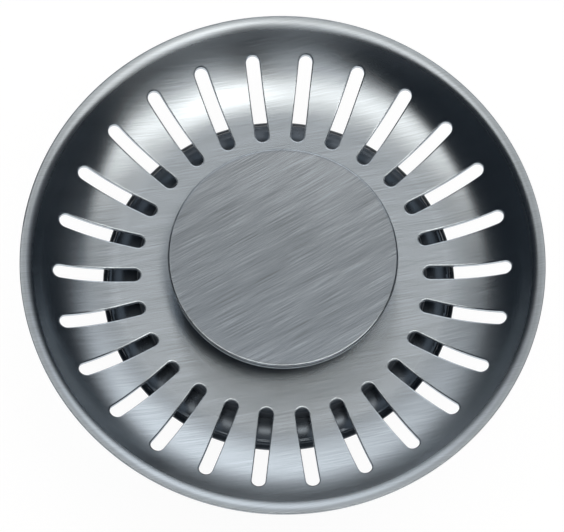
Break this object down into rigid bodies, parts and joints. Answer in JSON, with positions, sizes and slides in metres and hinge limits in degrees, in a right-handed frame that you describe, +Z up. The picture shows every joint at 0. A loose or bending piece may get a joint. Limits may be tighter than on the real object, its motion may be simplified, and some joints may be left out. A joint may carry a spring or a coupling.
{
  "type": "sink strainer",
  "caption": "Round slotted steel sink strainer plug with a flat pull knob, a rubber lip seal below and a post whose sprung balls click into the waste.",
  "frame": {"origin": "on the post's axis, halfway up its plain shank", "axes": "+Z up the post towards the knob, +X along the cross bore of the catch balls and through the middle of a slot"},
  "size_m": [0.083, 0.083, 0.0435],
  "materials": {
    "dish_steel": "linear brushed stainless steel",
    "knob_steel": "coarser linear brushed stainless steel",
    "plain_steel": "mill finish stainless steel",
    "turned_steel": "turned stainless steel, fine rings",
    "spring_steel": "drawn spring wire",
    "ball_steel": "polished bearing steel",
    "black_plastic": "moulded, fine matt grain",
    "black_rubber": "moulded rubber, slight gloss",
    "brass": "turned"
  },
  "bodies": {
    "plug": {"strainer_dish": "dish_steel", "knob_cap": "knob_steel", "knob_core": "black_plastic", "knob_bush": "brass", "knob_gasket": "black_rubber", "seal_carrier": "black_plastic", "rubber_seal": "black_rubber", "seal_washer": "plain_steel", "lock_washer": "spring_steel", "lock_nut": "plain_steel", "post": "turned_steel", "detent_spring": "spring_steel"},
    "ball_left": {"ball_left": "ball_steel"},
    "ball_right": {"ball_right": "ball_steel"}
  },
  "joints": [
    {"name": "ball_left_slide", "type": "slide", "parent": "plug", "child": "ball_left", "axis": [1, 0, 0], "range_m": [0, 0.0006], "stiffness_N_per_m": 1500, "deforming": ["detent_spring"]},
    {"name": "ball_right_slide", "type": "slide", "parent": "plug", "child": "ball_right", "axis": [-1, 0, 0], "range_m": [0, 0.0006], "stiffness_N_per_m": 1500, "deforming": ["detent_spring"]}
  ]
}
